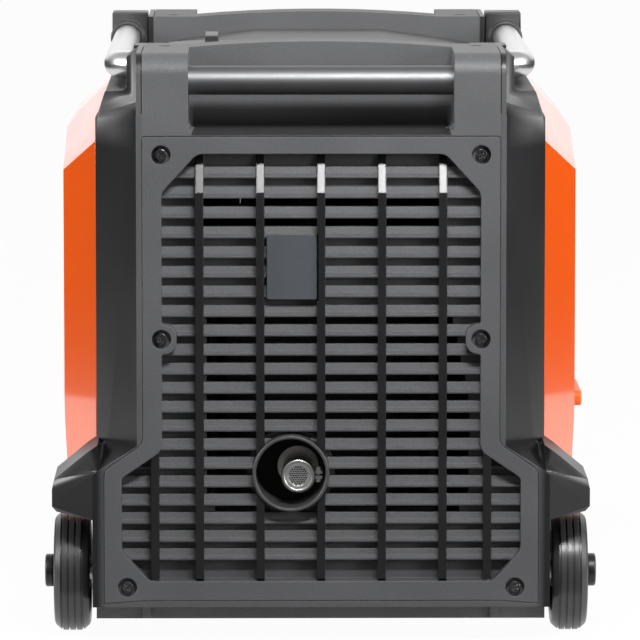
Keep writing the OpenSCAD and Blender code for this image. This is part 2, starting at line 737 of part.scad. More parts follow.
// Section of the right-hand panel, from its lower lip round to its top lip
side_face = [[side_h - 3, side_low_z], [side_h - 0.5, 174], [side_h, 190], [side_h, side_top_z],
    [side_h - 10, side_top_z + 15.5]];
lip_x = rail_x + 9.5;                    // inner edge of the top lip
lip_z = ledge_z - 2;
side_inner = inset(concat([[150, side_low_z]], side_face, [[lip_x, lip_z], [150, lip_z]]), wall);

// Slanted end: how far it has come out at distance y from the end
slant = (side_h - flank_h - 0.2) / side_slant;
function slant_x(y) = flank_h + 0.2 + slant * y;
past = side_slant + 40;

// The top falls by hip_rise per mm towards each end and by hip_fall per mm outwards
hip_z = ledge_z - 45;                    // its height at the corner of the cover
hip_rise = 0.281;
hip_fall = 1.664;

// Outer form of the right-hand panel, or its inner form moved in by t
module side_form(t) difference() {
    intersection() {
        along_y(side_y0 - (t > 0 ? cut : 0), side_y1 + (t > 0 ? cut : 0))
            polygon(t > 0 ? side_inner : concat([[low_h + 0.5, side_low_z]], side_face,
                [[lip_x, lip_z], [lip_x, side_top_z]]));
        linear_extrude(body_h) let (y = t * sqrt(1 + 1 / (slant * slant)) - 110)
            polygon([[slant_x(-110), side_y0 + y], [slant_x(past), side_y0 + y + past + 110],
                [slant_x(past), side_y1 - y - past - 110], [slant_x(-110), side_y1 - y]]);
    }
    for (s = [0, 1]) translate([flank_h, s ? side_y1 : side_y0, hip_z]) mirror([0, s, 0])
        rotate([asin(hip_rise / norm([hip_rise, hip_fall, 1])), atan(hip_fall), 0])
        block([-150, -80, -t], [150, 250, 100]);
}

module side_shell() difference() {
    side_form(0);
    side_form(wall);
}

module left_side_panel() color([0.93, 0.4, 0.06]) {
    difference() {
        mirror([1, 0, 0]) side_shell();
        block([-side_h - cut, door_y0 - 1, door_z0 - 1], [-side_h + 20, door_y1 + 4, door_z1 + 1]);
    }
    // hinge pin
    rod_z(door_z0 - 4, door_z1 + 4, hinge_x, door_y1, pin_r);
    for (z = [door_z0 - 5, door_z1 + 1]) block([-side_h + 0.2, door_y1 - 3, z], [-side_h + 5, door_y1 + 3, z + 4]);
}

module service_door() color([0.93, 0.4, 0.06]) difference() {
    union() {
        block([-side_h, door_y0, door_z0], [-side_h + wall, door_y1 - 3.5, door_z1]);
        rod_z(door_z0, door_z1, hinge_x, door_y1, barrel_r);
        block([-side_h + 0.5, door_y1 - 4, door_z0], [-side_h + wall, door_y1 - 1, door_z1]);
        translate([-side_h + wall - 0.5, door_y0 + 26, (door_z0 + door_z1) / 2]) rotate([0, 90, 0]) cylinder(r = 16, h = 8);
    }
    rod_z(door_z0 - cut, door_z1 + cut, hinge_x, door_y1, pin_r + fit);
    rod_x(-side_h - cut, -side_h + 7, door_y0 + 26, (door_z0 + door_z1) / 2, 12);
    rod_x(-side_h, -side_h + 20, door_y0 + 26, (door_z0 + door_z1) / 2, 4 + fit);
}

module door_latch() color([0.12, 0.12, 0.12]) translate([-side_h, door_y0 + 26, (door_z0 + door_z1) / 2]) {
    difference() {
        rod_x(0.5, 7 - rest, 0, 0, 12 - rest);
        for (s = [-1, 1]) block([-1, s * 7.5 - 5, -20], [5, s * 7.5 + 5, 20]);
    }
    rod_x(4, 12, 0, 0, 4);
    block([wall + 8, -5, -5], [wall + 10.5, 14, 5]);
}

module right_side_panel() color([0.93, 0.4, 0.06]) difference() {
    side_shell();
    along_x(side_h - 10, side_h + cut) translate([grip_y, grip_z]) square([34, 24], center = true);
}

// Moulded guide in the right-hand panel
module rope_guide() color([0.1, 0.1, 0.1]) difference() {
    union() {
        along_x(side_h - 12, side_h + 1.6) translate([grip_y, grip_z]) square([33, 23], center = true);
        along_x(side_h + 0.1, side_h + 1.6) translate([grip_y, grip_z]) square([42, 30], center = true);
    }
    rod_x(side_h - 20, side_h + 10, grip_y, grip_z, rope_dia / 2 + 0.6);
}

module recoil_grip() color([0.93, 0.4, 0.06]) {
    difference() {
        union() {
            along_x(side_h + 4, side_h + 13) translate([grip_y, grip_z]) rrect(92, 14, 6);
            rod_x(side_h + 2, side_h + 6, grip_y, grip_z, 6);
        }
        rod_x(side_h, side_h + 9, grip_y, grip_z, rope_dia / 2 + fit);
    }
}

module starter_rope() color([0.1, 0.1, 0.1])
    rod_x(recoil_x + 36.5, side_h + 8.5, grip_y, grip_z, rope_dia / 2);

// ---- engine and generator, crankshaft along X ----

crank_y = -20;
recoil_x = 150;      // middle of the recoil pulley

module lean_to() translate([0, crank_y, crank_z]) rotate([lean, 0, 0]) children();

module engine_block() color([0.6, 0.6, 0.6]) difference() {
    union() {
        rod_x(-70, rotor_x, crank_y, crank_z, 64);
        block([-70, crank_y - 60, 58], [rotor_x, crank_y + 60, crank_z - 20]);
        block([-80, crank_y - 76, 46], [rotor_x, crank_y + 76, 59]);
        lean_to() {
            translate([-8, 0, 40]) cylinder(r = barrel_dia / 2, h = 84);
            for (i = [0:5]) translate([-8, 0, 72 + i * 9]) linear_extrude(3) rrect(104, 104, 14);
        }
    }
    rod_x(-60, rotor_x + cut, crank_y, crank_z, crank_dia / 2 + fit);
    for (x = [-66, 42], y = [-68, 68]) rod_z(40, 62, x, crank_y + y, 4.2);
}

module cylinder_head() color([0.65, 0.65, 0.65]) lean_to() {
    translate([-8, 0, 124 + rest]) linear_extrude(10) rrect(100, 100, 12);
    for (i = [0:3]) translate([-8, 0, 138 + i * 7]) linear_extrude(2.5) rrect(104, 104, 14);
    translate([-8, 0, 130]) linear_extrude(34) rrect(80, 80, 10);
    translate([-8, 0, 160]) linear_extrude(18) rrect(84, 70, 12);
    // spark plug with its cap
    translate([-46, 0, 150]) rotate([0, -60, 0]) {
        cylinder(r = 5, h = 34);
        translate([0, 0, 26]) cylinder(r = 9, h = 18);
    }
}

module crankshaft() color([0.75, 0.75, 0.76]) rod_x(-58, recoil_x - 21, crank_y, crank_z, crank_dia / 2);

module alternator_stator() color([0.7, 0.4, 0.15]) difference() {
    union() {
        rod_x(rotor_x + 0.1, rotor_x + 6, crank_y, crank_z, 60);
        rod_x(rotor_x + 5, rotor_x + 34, crank_y, crank_z, 44);
        for (a = [0:20:340]) translate([rotor_x + 9, crank_y, crank_z]) rotate([a, 0, 0])
            block([0, 38, -4], [24, 66, 4]);
    }
    rod_x(rotor_x - cut, rotor_x + 40, crank_y, crank_z, crank_dia / 2 + 4);
}

module alternator_rotor() color([0.5, 0.5, 0.52]) difference() {
    rod_x(rotor_x + 9, rotor_x + 46, crank_y, crank_z, 78);
    rod_x(rotor_x + 8, rotor_x + 38, crank_y, crank_z, 68);
    rod_x(rotor_x + 30, rotor_x + 50, crank_y, crank_z, crank_dia / 2 + fit);
}

module cooling_fan() color([0.15, 0.15, 0.15]) difference() {
    union() {
        rod_x(rotor_x + 46.3, rotor_x + 50, crank_y, crank_z, 78);
        rod_x(rotor_x + 46.3, rotor_x + 68, crank_y, crank_z, 26);
        for (a = [0:24:336]) translate([rotor_x + 49, crank_y, crank_z]) rotate([a, 0, 0])
            translate([0, 20, 0]) rotate([18, 0, 0]) block([0, 0, -1.5], [18, 54, 1.5]);
    }
    rod_x(rotor_x + 40, rotor_x + 70, crank_y, crank_z, crank_dia / 2 + fit);
}

module recoil_housing() color([0.12, 0.12, 0.12]) difference() {
    union() {
        difference() {
            rod_x(rotor_x + 5, recoil_x + 36, crank_y, crank_z, 92);
            rod_x(rotor_x + 4, recoil_x - 16, crank_y, crank_z, 84);
            rod_x(recoil_x - 17, recoil_x + 33, crank_y, crank_z, 62);
            rod_x(rotor_x, rotor_x + 8, crank_y, crank_z, 88);
        }
        // post of the pulley
        rod_x(recoil_x - 12, recoil_x + 34, crank_y, crank_z, 8);
        // feet on the tray
        for (s = [-1, 1]) block([rotor_x + 14, crank_y + s * 60 - 12, 46], [recoil_x + 20, crank_y + s * 60 + 12, 110]);
    }
    rod_x(rotor_x + 4, recoil_x - 16, crank_y, crank_z, 84);
    // air inlets in the outer face
    for (a = [0:30:330]) translate([0, crank_y, crank_z]) rotate([a, 0, 0]) block([recoil_x + 30, 28, -3], [recoil_x + 40, 56, 3]);
    // rope outlet
    rod_x(recoil_x + 20, recoil_x + 40, grip_y, grip_z, rope_dia / 2 + 1);
}

module recoil_pulley() color([0.2, 0.2, 0.2]) translate([recoil_x, crank_y, crank_z]) rotate([0, 90, 0])
    rotate_extrude() polygon([[8 + fit, -8], [pulley_dia / 2 + 5, -8], [pulley_dia / 2 + 5, -5],
        [pulley_dia / 2 - 4, -3], [pulley_dia / 2 - 4, 3], [pulley_dia / 2 + 5, 5], [pulley_dia / 2 + 5, 8],
        [8 + fit, 8]]);

module carburettor() color([0.6, 0.6, 0.62]) {
    // inlet elbow, flanged to the cylinder head
    lean_to() {
        translate([-8, 52 + rest, 146]) rotate([-90, 0, 0]) cylinder(r = 15, h = 62);
        translate([-8, 52 + rest, 146]) rotate([-90, 0, 0]) linear_extrude(4) rrect(56, 34, 10);
    }
    rod_z(310, 352, -8, crank_y + 39, 15);
    block([-34, crank_y + 30, 268], [14, crank_y + 84, 322]);
    rod_x(-92, -33, crank_y + 58, 296, 20);
    rod_z(250, 269, -10, crank_y + 57, 20);
}

module air_filter_box() color([0.13, 0.13, 0.13]) difference() {
    union() {
        along_x(-196, -92.3) translate([crank_y + 45, 304]) rrect(120, 116, 10);
        block([-170, crank_y + 10, 160], [-150, crank_y + 80, 250]);
    }
    along_x(-194, -96) translate([crank_y + 45, 304]) rrect(114, 110, 8);
}

module inverter_module() color([0.55, 0.56, 0.58]) {
    y1 = front_face_y - plate_t - 34;
    block([-130, y1 - 60, 46], [60, y1, 200]);
    for (x = [-126:12:54]) block([x, y1 - 72, 50], [x + 3, y1 - 59, 196]);
}

module battery() color([0.1, 0.1, 0.12]) {
    block([84, 130, 46], [160, 216, 140]);
    for (x = [98, 140]) rod_z(139, 147, x, 150, 6);
}

// ---- top ----

cap_pocket_z = ledge_z + 6;
cap_top_z = ledge_z + 27;
tank_z0 = 388;
tank_z1 = ledge_z - 10;

roof_outline = rounded(both3([[roof_x, ledge_z - 4, 0], [roof_x, ledge_z + 4, 4], [roof_x - 12, ledge_z + 12, 8],
    [124, body_h - 20.6, 20], [60, crown_top, 0]]));

module top_cover() color([0.2, 0.2, 0.21]) {
    roof();
    // posts that carry the fuel tank
    for (x = [-100, 100], y = [-105, 115]) rod_z(tank_z1 + rest, body_h - 19, x, y, 6);
}

module roof() difference() {
    union() {
        along_y(top_y0, top_y1) polygon(roof_outline);
        // ledges beside the roof
        along_y(side_y0, side_y1) translate([-rail_x - 9, ledge_z - 9]) square([2 * rail_x + 18, 9]);
        pair() block([rail_x + 6, side_y0, ledge_z - 32], [rail_x + 9, side_y1, ledge_z - 8]);
        // clamps of the bent rail ends
        pair() block([134, top_y0, ledge_z - 4], [rail_x - bend_r + 12, top_y0 + 32, body_h - 1.5]);
    }
    // hollow underneath
    along_y(top_y0 - cut, top_y1 + cut) polygon(inset(roof_outline, wall));
    block([-roof_x + wall, side_y0 - cut, ledge_z - 20], [roof_x - wall, side_y1 + cut, ledge_z - 1]);
    // room for the ends of the covers
    for (s = [0, 1]) translate([0, s * 2 * mid_y, 0]) mirror([0, s, 0])
        block([-ear_w / 2 - seam, side_y0 - cut, ledge_z - 20], [ear_w / 2 + seam, top_y0, body_h]);
    // sockets of the rail ends
    pair() {
        rod_x(rail_x - bend_r - 14 - rest, rail_x - bend_r, rail_end_y, rail_z, rail_dia / 2 + rest);
        rail_path(rail_dia / 2 + rest);
    }
    // pocket of the fuel cap
    rod_z(ledge_z - 20, body_h, cap_x, cap_y, fuel_cap_dia / 2 + 6);
}

module fuel_tank() color([0.12, 0.12, 0.12]) {
    along_x(-146, 150) translate([5, (tank_z0 + tank_z1) / 2])
        rrect(300, tank_z1 - tank_z0, min(20, (tank_z1 - tank_z0) / 2 - 1));
    difference() {
        rod_z(tank_z1 - 8, ledge_z + 14, cap_x, cap_y, neck_r);
        rod_z(tank_z1, ledge_z + 20, cap_x, cap_y, neck_r - wall);
    }
    // dish round the neck, in the pocket of the top cover
    difference() {
        rod_z(cap_pocket_z - 6, cap_pocket_z - 3, cap_x, cap_y, fuel_cap_dia / 2 + 5.5);
        rod_z(cap_pocket_z - 9, cap_pocket_z, cap_x, cap_y, neck_r - 1);
    }
}

module fuel_cap() color([0.13, 0.13, 0.13]) difference() {
    union() {
        rod_z(cap_pocket_z - 2, cap_top_z, cap_x, cap_y, fuel_cap_dia / 2);
        // grip rib across the cap
        along_x(cap_x - 6, cap_x + 6) translate([cap_y, cap_top_z - 2]) rrect(fuel_cap_dia - 12, 22, 10);
    }
    rod_z(cap_pocket_z - 20, ledge_z + 15, cap_x, cap_y, neck_r + fit);
    rod_z(cap_pocket_z - 20, ledge_z + 10, cap_x, cap_y, 0.1);
    for (a = [0:15:345]) translate([cap_x, cap_y, 0]) rotate([0, 0, a]) translate([fuel_cap_dia / 2 + 1, 0, cap_pocket_z - 3])
        cylinder(r = 2.2, h = 30, $fn = 16);
}

// ---- rails and pull handle ----

rail_end_y = top_y0 + 15;                // middle of the rails' inward ends
bracket_y0 = front_face_y - cover_d + 0.3;
bracket_y1 = bracket_y0 + 36;
bar_y = front_y - grip_dia / 2;          // crossbar of the pull handle
arm_in = 300;                            // length of arm inside a rail
arm_r = arm_dia / 2;

module rail_path(r) {
    rod_y(rail_end_y + bend_r, bracket_y1 - 8, rail_x, rail_z, r);
    translate([rail_x - bend_r, rail_end_y + bend_r, rail_z]) rotate([0, 0, -90])
        rotate_extrude(angle = 90) translate([bend_r, 0]) circle(r);
    rod_x(rail_x - bend_r - 14, rail_x - bend_r, rail_end_y, rail_z, r);
}

module side_rails() color([0.8, 0.8, 0.82]) pair() difference() {
    rail_path(rail_dia / 2);
    rod_y(rail_end_y + bend_r, bracket_y1, rail_x, rail_z, arm_r + fit);
}

module rail_brackets() color([0.15, 0.15, 0.16]) pair() difference() {
    union() {
        block([face_h + 0.6, bracket_y0, ledge_z + rest], [lip_x - rest, bracket_y1, body_h + 4]);
        block([face_h + 5, bracket_y0, ledge_z + 2 + rest], [rail_x + 14.5, bracket_y1, body_h + 4]);
        rod_y(bracket_y0 - 5, bracket_y0 + 1, rail_x, rail_z, rail_dia / 2 + 3.5);
    }
    rod_y(bracket_y0 - 6, bracket_y1 - 8, rail_x, rail_z, rail_dia / 2 + fit);
    rod_y(bracket_y0, bracket_y1 + cut, rail_x, rail_z, arm_r + rest);
}

module handle_path(r) {
    corner_r = 22;
    pair() {
        rod_y(bracket_y1 - arm_in, bar_y - corner_r, rail_x, rail_z, r);
        translate([rail_x - corner_r, bar_y - corner_r, rail_z])
            rotate_extrude(angle = 90) translate([corner_r, 0]) circle(r);
    }
    rod_x(-rail_x + corner_r, rail_x - corner_r, bar_y, rail_z, r);
}

module pull_handle() color([0.8, 0.8, 0.82]) difference() {
    handle_path(arm_r);
    handle_path(arm_r - tube_wall);
    pair() rod_y(bracket_y1 - arm_in - cut, bracket_y1 - arm_in + 4, rail_x, rail_z, arm_r - tube_wall);
    rod_z(rail_z - 2, rail_z + 20, 0, bar_y, 8);
}

module pull_grip() color([0.1, 0.1, 0.1]) difference() {
    rod_x(-grip_l / 2, grip_l / 2, bar_y, rail_z, grip_dia / 2);
    rod_x(-grip_l / 2 - cut, grip_l / 2 + cut, bar_y, rail_z, arm_r + fit);
    rod_z(rail_z, rail_z + 20, 0, bar_y, 8);
}

module handle_lock_button() color([0.85, 0.35, 0.08]) {
    rod_z(rail_z + 3.5, rail_z + grip_dia / 2 + 0.5, 0, bar_y, 8 - rest);
}

// ---- base and wheels ----

skirt_top_z = side_low_z - rest;

module base_tray() color([0.14, 0.14, 0.14]) difference() {
    union() {
        // pan
        difference() {
            union() {
                block([-flank_h + 5, face_y + 60, tray_z], [flank_h - 5, front_face_y - 60, cover_z + 12]);
                block([-flank_h + 0.6, face_y + 60, tray_z], [flank_h - 0.6, front_face_y - 60, cover_z - seam]);
            }
            block([-flank_h + 5 + wall, face_y + 60 + wall, tray_z + wall],
                  [flank_h - 5 - wall, front_face_y - 60 - wall, cover_z + 20]);
        }
        // skirts between the end covers
        pair() block([flank_h - wall, side_y0, tray_z], [flank_h, side_y1, skirt_top_z]);
        pair() block([flank_h - 8, side_y0, tray_z], [flank_h - 1, side_y1, tray_z + wall]);
        // axle brackets
        pair() block([150, axle_y - 20, tray_z + 1], [158, axle_y + 20, axle_z + 18]);
        // seats of the engine
        for (x = [-66, 42], y = [-68, 68]) rod_z(tray_z + 1, 45.7, x, crank_y + y, 12);
        for (s = [-1, 1]) block([rotor_x + 20, crank_y + s * 60 - 12, tray_z + 1], [recoil_x + 14, crank_y + s * 60 + 12, 45.7]);
        // posts of the muffler's heat shield
        for (x = [-70, 70]) rod_z(tray_z + 1, 99.7, x, face_y + muffler_d + 40, 8);
        // shelf of the inverter and the battery
        block([-130, 130, tray_z + 1], [160, front_face_y - 62, 20]);
        for (x = [-126, 50, 84, 154]) block([x, 134, 19], [x + 6, 214, 45.7]);
    }
    pair() rod_x(140, 170, axle_y, axle_z, axle_dia / 2 + fit);
}

module front_feet() color([0.06, 0.06, 0.06]) pair()
    rod_z(0, tray_z - 0.05, 150, front_face_y - 95, 20);

module wheel_axle() color([0.75, 0.75, 0.75]) {
    rod_x(-track_w / 2 + 3, track_w / 2 - 3, axle_y, axle_z, axle_dia / 2);
    pair() difference() {
        rod_x(low_h + 0.4, low_h + 2.6, axle_y, axle_z, 12);
        rod_x(low_h, low_h + 3, axle_y, axle_z, axle_dia / 2 + fit);
    }
}

module tyre() translate([tyre_x, axle_y, axle_z]) rotate([0, 90, 0]) rotate_extrude($fn = 96)
    difference() {
        r = wheel_dia / 2;
        polygon(rounded([[rim_dia / 2 + fit, 1, 1], [r - 6, 0, 5], [r, 7, 4], [r, tyre_w - 7, 4],
            [r - 6, tyre_w, 5], [rim_dia / 2 + fit, tyre_w - 1, 1]], 4));
        for (i = [-1.5:1:1.5]) translate([r, tyre_w / 2 + i * 6]) square([3.6, 1.6], center = true);
    }

module rim() difference() {
    translate([tyre_x, axle_y, axle_z]) rotate([0, 90, 0]) rotate_extrude($fn = 96) polygon([
        [axle_dia / 2 + fit, 1], [15, 1], [15, 12], [29, 12], [31, 4], [rim_dia / 2, 4], [rim_dia / 2, tyre_w - 4],
        [31, tyre_w - 4], [29, 18], [15, 18], [15, tyre_w - 0.5], [axle_dia / 2 + fit, tyre_w - 0.5]]);
    for (a = [0:60:300]) translate([tyre_x, axle_y, axle_z]) rotate([a, 0, 0]) rod_x(5, 25, 22, 0, 4.5);
}

module tyre_left() color([0.08, 0.08, 0.08]) mirror([1, 0, 0]) tyre();
module tyre_right() color([0.08, 0.08, 0.08]) tyre();
module rim_left() color([0.15, 0.15, 0.15]) mirror([1, 0, 0]) rim();
module rim_right() color([0.15, 0.15, 0.15]) rim();

module axle_caps() color([0.2, 0.2, 0.21]) pair() difference() {
    rod_x(track_w / 2 - cap_l, track_w / 2, axle_y, axle_z, cap_dia / 2);
    rod_x(track_w / 2 - cap_l - cut, track_w / 2 - 2.9, axle_y, axle_z, axle_dia / 2 + fit);
}

rear_cover();
louvre_panel();
blank_plate();
exhaust_shroud();
tail_pipe();
spark_arrester();
arrester_clamp();
panel_screws();
carry_bars();
front_cover();
control_panel();
display();
engine_dial();
eco_switch();
start_button();
ac_breaker();
duplex_outlets();
outlet_cover_left();
outlet_cover_right();
twist_lock_outlet();
twist_lock_cover();
low_voltage_sockets();
earth_terminal();
left_side_panel();
right_side_panel();
service_door();
door_latch();
recoil_grip();
starter_rope();
rope_guide();
recoil_housing();
recoil_pulley();
top_cover();
fuel_cap();
fuel_tank();
side_rails();
rail_brackets();
pull_handle();
pull_grip();
handle_lock_button();
base_tray();
front_feet();
wheel_axle();
tyre_left();
tyre_right();
rim_left();
rim_right();
axle_caps();
engine_block();
cylinder_head();
crankshaft();
alternator_rotor();
alternator_stator();
cooling_fan();
carburettor();
air_filter_box();
muffler();
heat_shield();
inverter_module();
battery();
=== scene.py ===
import json
import math

import bmesh
import bpy
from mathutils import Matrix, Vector


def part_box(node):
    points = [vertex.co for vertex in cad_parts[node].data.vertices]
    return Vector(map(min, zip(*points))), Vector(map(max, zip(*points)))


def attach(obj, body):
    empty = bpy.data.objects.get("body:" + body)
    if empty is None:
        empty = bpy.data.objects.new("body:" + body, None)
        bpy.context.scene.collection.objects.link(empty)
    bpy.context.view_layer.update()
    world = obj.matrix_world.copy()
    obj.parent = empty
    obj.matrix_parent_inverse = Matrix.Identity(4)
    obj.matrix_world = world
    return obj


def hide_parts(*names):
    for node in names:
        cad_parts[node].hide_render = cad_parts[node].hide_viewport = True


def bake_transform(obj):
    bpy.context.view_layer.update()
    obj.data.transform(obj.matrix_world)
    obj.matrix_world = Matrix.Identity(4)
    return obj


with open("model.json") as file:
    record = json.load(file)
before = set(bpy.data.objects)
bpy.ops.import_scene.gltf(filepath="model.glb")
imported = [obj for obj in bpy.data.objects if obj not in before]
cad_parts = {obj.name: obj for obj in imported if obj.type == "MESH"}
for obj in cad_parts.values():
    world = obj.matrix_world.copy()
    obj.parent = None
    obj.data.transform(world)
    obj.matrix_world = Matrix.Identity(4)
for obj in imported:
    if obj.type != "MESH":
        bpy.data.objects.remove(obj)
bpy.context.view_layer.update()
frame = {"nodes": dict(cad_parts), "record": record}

# ---- camera ----
# A long lens far behind the exhaust end, a little above the machine, so that the far
# covers show over the near one.
looks_down, looks_right = math.radians(6.72), math.radians(0.486)
camera_data = bpy.data.cameras.new("camera")
camera_data.sensor_width = 36
camera_data.lens = 316.3
camera_data.clip_end = 60
camera = bpy.data.objects.new("camera", camera_data)
camera.location = (-0.0423, -5.191, 0.8575)
camera.rotation_euler = (math.pi / 2 - looks_down, 0, -looks_right)
bpy.context.collection.objects.link(camera)
bpy.context.scene.camera = camera

# ---- studio ----
# White paper under the machine and a white wall behind it, dark cards at its sides and a
# dark floor in front. One narrow box hangs high in front, a broad weak one stands low on
# the right, one lights each side, and soft light comes from all round.
bpy.context.scene.view_settings.view_transform = "Standard"
world = bpy.data.worlds.new("studio")
world.use_nodes = True
bpy.context.scene.world = world


class Pattern:
    """A shader socket that takes part in plain sums and products."""

    def __init__(self, tree, socket):
        self.tree, self.socket = tree, socket

    def maths(self, operation, first, second):
        step = self.tree.nodes.new("ShaderNodeMath")
        step.operation = operation
        for value, place in ((first, step.inputs[0]), (second, step.inputs[1])):
            if isinstance(value, Pattern):
                self.tree.links.new(value.socket, place)
            else:
                place.default_value = value
        return Pattern(self.tree, step.outputs[0])

    def __add__(self, other):
        return self.maths("ADD", self, other)

    def __radd__(self, other):
        return self.maths("ADD", other, self)

    def __sub__(self, other):
        return self.maths("SUBTRACT", self, other)

    def __rsub__(self, other):
        return self.maths("SUBTRACT", other, self)

    def __mul__(self, other):
        return self.maths("MULTIPLY", self, other)

    def __rmul__(self, other):
        return self.maths("MULTIPLY", other, self)

    def above(self, edge, soft):
        """0 below the edge, 1 above it, with a soft step."""
        step = (self - (edge - soft)) * (1 / (2 * soft))
        return self.maths("MINIMUM", self.maths("MAXIMUM", step, 0.0), 1.0)

    def below(self, edge, soft):
        return 1.0 - self.above(edge, soft)


class Shading:
    """A node tree whose nodes are added with their settings and the values of their sockets."""

    def __init__(self, tree):
        self.tree = tree

    def add(self, kind, settings=(), output=0, **inputs):
        node = self.tree.nodes.new(kind)
        for name, value in dict(settings).items():
            setattr(node, name, value)
        for name, value in inputs.items():
            # _2 is the socket of that number, and any other name is the socket's own
            numbered = name[1:].isdigit()
            socket = node.inputs[int(name[1:]) if numbered else name.replace("_", " ").title()]
            if isinstance(value, Pattern):
                self.tree.links.new(value.socket, socket)
            else:
                socket.default_value = value
        return Pattern(self.tree, node.outputs[output])

    def seen(self, eye, mirror):
        """How white a background looks straight, and in metal and glass."""
        straight, glossy, through = (
            self.add("ShaderNodeLightPath", output=f"Is {ray} Ray")
            for ray in ("Camera", "Glossy", "Transmission"))
        return straight * eye + (glossy + through) * mirror


white = (1, 1, 1, 1)
sky = Shading(world.node_tree)
sky_light = sky.add("ShaderNodeBackground", color=white, strength=0.24)
heading = sky.add("ShaderNodeTexCoord", output="Generated")
along, up = (sky.add("ShaderNodeSeparateXYZ", output=axis, vector=heading) for axis in "YZ")
# in reflections the wall behind is white, the ceiling grey and the rest of the room dark
white_wall = along.above(0.72, 0.08) * 0.95
grey_ceiling = up.above(0.3, 0.12) * 0.4
room = white_wall + grey_ceiling + 0.1
backdrop = sky.add("ShaderNodeBackground", color=white, strength=sky.seen(1.0, room))
shown_sky = sky.add("ShaderNodeMixShader", _0=sky.seen(1.0, 1.0), _1=sky_light, _2=backdrop)
world.node_tree.links.new(shown_sky.socket, world.node_tree.nodes["World Output"].inputs[0])


def stage_sheet(name, corner_painted_highlight, grey, eye=0.0, mirror=0.0):
    """A flat grey sheet of the studio, as white to the eye and in reflections as is asked."""
    mesh = bpy.data.meshes.new(name)
    sheet = bmesh.new()
    sheet.faces.new([sheet.verts.new(corner) for corner in corner_painted_highlight])
    sheet.to_mesh(mesh)
    sheet.free()
    thing = bpy.data.objects.new(name, mesh)
    bpy.context.collection.objects.link(thing)
    cover = bpy.data.materials.new(name)
    cover.use_nodes = True
    surface = cover.node_tree.nodes["Principled BSDF"]
    surface.inputs["Base Color"].default_value = (grey, grey, grey, 1)
    surface.inputs["Roughness"].default_value = 0.9
    surface.inputs["Specular IOR Level"].default_value = 0.0
    if eye:
        shade = Shading(cover.node_tree)
        glow = shade.add("ShaderNodeEmission", color=white, strength=1.0)
        shown = shade.add("ShaderNodeMixShader", _0=shade.seen(eye, mirror),
                          _1=Pattern(cover.node_tree, surface.outputs[0]), _2=glow)
        cover.node_tree.links.new(shown.socket, cover.node_tree.nodes["Material Output"].inputs[0])
    mesh.materials.append(cover)
    thing.visible_camera = eye > 0
    return thing


def floor_corners(half_width, near, far, height):
    """The corners of a level sheet that reaches from near to far."""
    return [(-half_width, near, height), (half_width, near, height),
            (half_width, far, height), (-half_width, far, height)]


stage_sheet("paper", floor_corners(9, -9, 9, 0), 0.85, eye=0.965, mirror=0.85)
# a dark sheet a hair above the paper, which the camera doesn't see
dark_floor = stage_sheet("dark floor in front", floor_corners(4, -9, -0.36, 0.001), 0.1)
dark_floor.visible_shadow = False
# dark cards that show only as reflections in the sides
card_near, card_far, card_top = -0.5, 3, 0.66
for side, away in (("left", -1.3), ("right", 1.3)):
    outline = [(away, card_near, 0), (away, card_far, 0), (away, card_far, card_top),
               (away, card_near, card_top)]
    card = stage_sheet(side + " card", outline, 0.02)
    card.visible_diffuse = card.visible_shadow = False


handle_recess = Vector((0, -0.33, 0.49))


def softbox(name, bearing, height, distance, width, tall, power):
    """A lamp aimed at the near recess, so many degrees right of the exhaust end and up."""
    lamp = bpy.data.lights.new(name, "AREA")
    lamp.shape, lamp.size, lamp.size_y, lamp.energy = "RECTANGLE", width, tall, power
    holder = bpy.data.objects.new(name, lamp)
    bearing, height = math.radians(bearing), math.radians(height)
    way = Vector((math.sin(bearing) * math.cos(height), -math.cos(bearing) * math.cos(height),
                  math.sin(height)))
    holder.location = way * distance + handle_recess
    holder.rotation_euler = (-way).to_track_quat("-Z", "Y").to_euler()
    bpy.context.collection.objects.link(holder)


softbox("high box", bearing=12, height=39.5, distance=1.2, width=0.5, tall=0.13, power=17)
softbox("low box", bearing=52, height=5, distance=3.0, width=1.1, tall=0.9, power=22)
softbox("left box", bearing=-80, height=15, distance=3.0, width=1.0, tall=1.0, power=75)
softbox("right box", bearing=85, height=15, distance=3.0, width=1.0, tall=1.0, power=60)

# ---- end covers ----
# The two injection-moulded shells that close the ends: a cheek on each side of a hand
# recess, slanted corners below and a flare over each rear wheel. Black plastic, etched to
# a pale grain on the flat faces and smooth on the slanted ones.


class Finish(Shading):
    """A material built from patterns on a principled surface."""

    def __init__(self, name, **values):
        self.material = bpy.data.materials.new(name)
        self.material.use_nodes = True
        super().__init__(self.material.node_tree)
        self.surface = self.tree.nodes["Principled BSDF"]
        self.place = self.add("ShaderNodeTexCoord", output="Object")
        for socket, value in values.items():
            self.give(socket.replace("_", " ").title().replace("Ior", "IOR"), value)

    def give(self, socket, value):
        if isinstance(value, Pattern):
            self.tree.links.new(value.socket, self.surface.inputs[socket])
        elif isinstance(value, tuple) and len(value) == 3:
            self.surface.inputs[socket].default_value = (*value, 1)
        else:
            self.surface.inputs[socket].default_value = value

    def noise(self, scale, detail=2.0, roughness=0.5):
        return self.add("ShaderNodeTexNoise", vector=self.place, scale=scale, detail=detail,
                        roughness=roughness)

    def blend(self, amount, first, second):
        first, second = (c if isinstance(c, Pattern) else (*c, 1) for c in (first, second))
        return self.add("ShaderNodeMix", {"data_type": "RGBA"}, 2, _0=amount, _6=first, _7=second)

    def axis(self, name):
        return self.add("ShaderNodeSeparateXYZ", output=name, vector=self.place)

    def relief(self, height, depth, edge=0.0):
        """Bumps of the given depth in metres, over edges softened by the given radius."""
        values = {"height": height, "distance": depth, "strength": 1.0}
        if edge:
            values["normal"] = self.add("ShaderNodeBevel", {"samples": 4}, radius=edge)
        self.give("Normal", self.add("ShaderNodeBump", **values))


def lit(colour, factor):
    """The colour, so much lighter or darker."""
    return tuple(min(1.0, part * factor) for part in colour)


